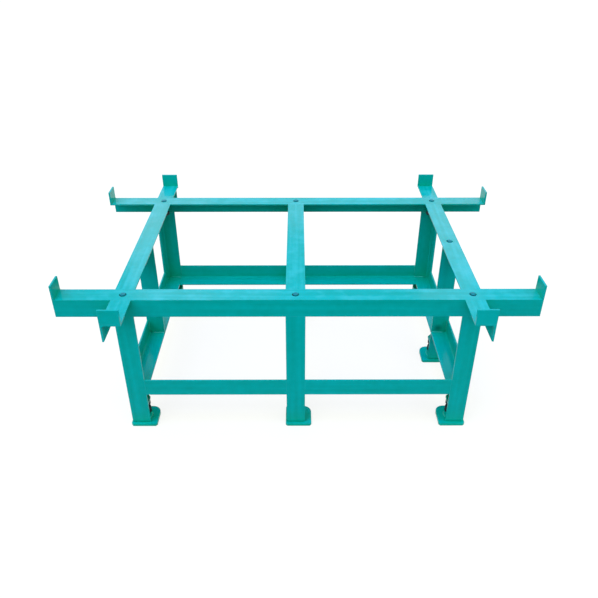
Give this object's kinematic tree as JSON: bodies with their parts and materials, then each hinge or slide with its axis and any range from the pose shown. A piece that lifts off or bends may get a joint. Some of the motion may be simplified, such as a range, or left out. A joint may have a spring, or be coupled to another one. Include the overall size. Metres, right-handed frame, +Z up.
{
  "type": "surface plate stand",
  "caption": "Low rectangular welded stand of angle steel with upstanding end stops, screw-adjusted levelling feet and support screws that carry a surface plate.",
  "frame": {"origin": "middle of the stand on the floor, where the foot plates rest", "axes": "+X along the long rails to the right, +Y towards the rear, +Z up"},
  "size_m": [1.524, 1.024, 0.575],
  "materials": {
    "teal_enamel": "glossy enamel",
    "black_steel": "black oxide, satin"
  },
  "bodies": {
    "frame": {"front_top_rail": "teal_enamel", "rear_top_rail": "teal_enamel", "left_side_rail": "teal_enamel", "right_side_rail": "teal_enamel", "middle_cross_rail": "teal_enamel", "front_left_arm": "teal_enamel", "front_right_arm": "teal_enamel", "rear_left_arm": "teal_enamel", "rear_right_arm": "teal_enamel", "front_rail_left_stop": "teal_enamel", "front_rail_right_stop": "teal_enamel", "rear_rail_left_stop": "teal_enamel", "rear_rail_right_stop": "teal_enamel", "front_left_arm_stop": "teal_enamel", "front_right_arm_stop": "teal_enamel", "rear_left_arm_stop": "teal_enamel", "rear_right_arm_stop": "teal_enamel", "front_left_leg": "teal_enamel", "front_middle_leg": "teal_enamel", "front_right_leg": "teal_enamel", "rear_left_leg": "teal_enamel", "rear_middle_leg": "teal_enamel", "rear_right_leg": "teal_enamel", "left_middle_leg": "teal_enamel", "right_middle_leg": "teal_enamel", "right_middle_leg_end": "teal_enamel", "front_left_stretcher": "teal_enamel", "front_right_stretcher": "teal_enamel", "rear_left_stretcher": "teal_enamel", "rear_right_stretcher": "teal_enamel", "left_side_stretcher": "teal_enamel", "right_side_stretcher": "teal_enamel", "foot_brackets": "teal_enamel", "foot_nuts": "black_steel", "support_nuts": "black_steel", "support_lock_nuts": "black_steel"},
    "front_left_foot": {"front_left_foot": "teal_enamel"},
    "front_middle_foot": {"front_middle_foot": "teal_enamel"},
    "front_right_foot": {"front_right_foot": "teal_enamel"},
    "rear_left_foot": {"rear_left_foot": "teal_enamel"},
    "rear_middle_foot": {"rear_middle_foot": "teal_enamel"},
    "rear_right_foot": {"rear_right_foot": "teal_enamel"},
    "right_middle_foot": {"right_middle_foot": "teal_enamel"},
    "front_left_foot_screw": {"front_left_foot_screw": "black_steel"},
    "front_middle_foot_screw": {"front_middle_foot_screw": "black_steel"},
    "front_right_foot_screw": {"front_right_foot_screw": "black_steel"},
    "rear_left_foot_screw": {"rear_left_foot_screw": "black_steel"},
    "rear_middle_foot_screw": {"rear_middle_foot_screw": "black_steel"},
    "rear_right_foot_screw": {"rear_right_foot_screw": "black_steel"},
    "right_middle_foot_screw": {"right_middle_foot_screw": "black_steel"},
    "front_left_support_screw": {"front_left_support_screw": "black_steel"},
    "front_middle_support_screw": {"front_middle_support_screw": "black_steel"},
    "front_right_support_screw": {"front_right_support_screw": "black_steel"},
    "rear_left_support_screw": {"rear_left_support_screw": "black_steel"},
    "rear_middle_support_screw": {"rear_middle_support_screw": "black_steel"},
    "rear_right_support_screw": {"rear_right_support_screw": "black_steel"},
    "right_middle_support_screw": {"right_middle_support_screw": "black_steel"}
  },
  "joints": [
    {"name": "front_left_foot_slide", "type": "slide", "parent": "frame", "child": "front_left_foot", "axis": [0, 0, -1], "range_m": [0, 0.03]},
    {"name": "front_left_foot_screw_turn", "type": "hinge", "parent": "front_left_foot", "child": "front_left_foot_screw", "pos_m": [-0.54, -0.3475, 0], "axis": [0, 0, -1], "range_deg": [0, 3600]},
    {"name": "front_middle_foot_slide", "type": "slide", "parent": "frame", "child": "front_middle_foot", "axis": [0, 0, -1], "range_m": [0, 0.03]},
    {"name": "front_middle_foot_screw_turn", "type": "hinge", "parent": "front_middle_foot", "child": "front_middle_foot_screw", "pos_m": [0.0015, -0.3475, 0], "axis": [0, 0, -1], "range_deg": [0, 3600]},
    {"name": "front_right_foot_slide", "type": "slide", "parent": "frame", "child": "front_right_foot", "axis": [0, 0, -1], "range_m": [0, 0.03]},
    {"name": "front_right_foot_screw_turn", "type": "hinge", "parent": "front_right_foot", "child": "front_right_foot_screw", "pos_m": [0.54, -0.3475, 0], "axis": [0, 0, -1], "range_deg": [0, 3600]},
    {"name": "rear_left_foot_slide", "type": "slide", "parent": "frame", "child": "rear_left_foot", "axis": [0, 0, -1], "range_m": [0, 0.03]},
    {"name": "rear_left_foot_screw_turn", "type": "hinge", "parent": "rear_left_foot", "child": "rear_left_foot_screw", "pos_m": [-0.54, 0.3475, 0], "axis": [0, 0, -1], "range_deg": [0, 3600]},
    {"name": "rear_middle_foot_slide", "type": "slide", "parent": "frame", "child": "rear_middle_foot", "axis": [0, 0, -1], "range_m": [0, 0.03]},
    {"name": "rear_middle_foot_screw_turn", "type": "hinge", "parent": "rear_middle_foot", "child": "rear_middle_foot_screw", "pos_m": [0.0015, 0.3475, 0], "axis": [0, 0, -1], "range_deg": [0, 3600]},
    {"name": "rear_right_foot_slide", "type": "slide", "parent": "frame", "child": "rear_right_foot", "axis": [0, 0, -1], "range_m": [0, 0.03]},
    {"name": "rear_right_foot_screw_turn", "type": "hinge", "parent": "rear_right_foot", "child": "rear_right_foot_screw", "pos_m": [0.54, 0.3475, 0], "axis": [0, 0, -1], "range_deg": [0, 3600]},
    {"name": "right_middle_foot_slide", "type": "slide", "parent": "frame", "child": "right_middle_foot", "axis": [0, 0, -1], "range_m": [0, 0.03]},
    {"name": "right_middle_foot_screw_turn", "type": "hinge", "parent": "right_middle_foot", "child": "right_middle_foot_screw", "pos_m": [0.54, -0.0005, 0], "axis": [0, 0, -1], "range_deg": [0, 3600]},
    {"name": "front_left_support_screw_slide", "type": "slide", "parent": "frame", "child": "front_left_support_screw", "axis": [0, 0, 1], "range_m": [0, 0.015]},
    {"name": "front_middle_support_screw_slide", "type": "slide", "parent": "frame", "child": "front_middle_support_screw", "axis": [0, 0, 1], "range_m": [0, 0.015]},
    {"name": "front_right_support_screw_slide", "type": "slide", "parent": "frame", "child": "front_right_support_screw", "axis": [0, 0, 1], "range_m": [0, 0.015]},
    {"name": "rear_left_support_screw_slide", "type": "slide", "parent": "frame", "child": "rear_left_support_screw", "axis": [0, 0, 1], "range_m": [0, 0.015]},
    {"name": "rear_middle_support_screw_slide", "type": "slide", "parent": "frame", "child": "rear_middle_support_screw", "axis": [0, 0, 1], "range_m": [0, 0.015]},
    {"name": "rear_right_support_screw_slide", "type": "slide", "parent": "frame", "child": "rear_right_support_screw", "axis": [0, 0, 1], "range_m": [0, 0.015]},
    {"name": "right_middle_support_screw_slide", "type": "slide", "parent": "frame", "child": "right_middle_support_screw", "axis": [0, 0, 1], "range_m": [0, 0.015]}
  ],
  "couplings": [
    {"joint": "front_left_foot_screw_turn", "follows": "front_left_foot_slide", "rad_per_m": 2094.4},
    {"joint": "front_middle_foot_screw_turn", "follows": "front_middle_foot_slide", "rad_per_m": 2094.4},
    {"joint": "front_right_foot_screw_turn", "follows": "front_right_foot_slide", "rad_per_m": 2094.4},
    {"joint": "rear_left_foot_screw_turn", "follows": "rear_left_foot_slide", "rad_per_m": 2094.4},
    {"joint": "rear_middle_foot_screw_turn", "follows": "rear_middle_foot_slide", "rad_per_m": 2094.4},
    {"joint": "rear_right_foot_screw_turn", "follows": "rear_right_foot_slide", "rad_per_m": 2094.4},
    {"joint": "right_middle_foot_screw_turn", "follows": "right_middle_foot_slide", "rad_per_m": 2094.4}
  ]
}
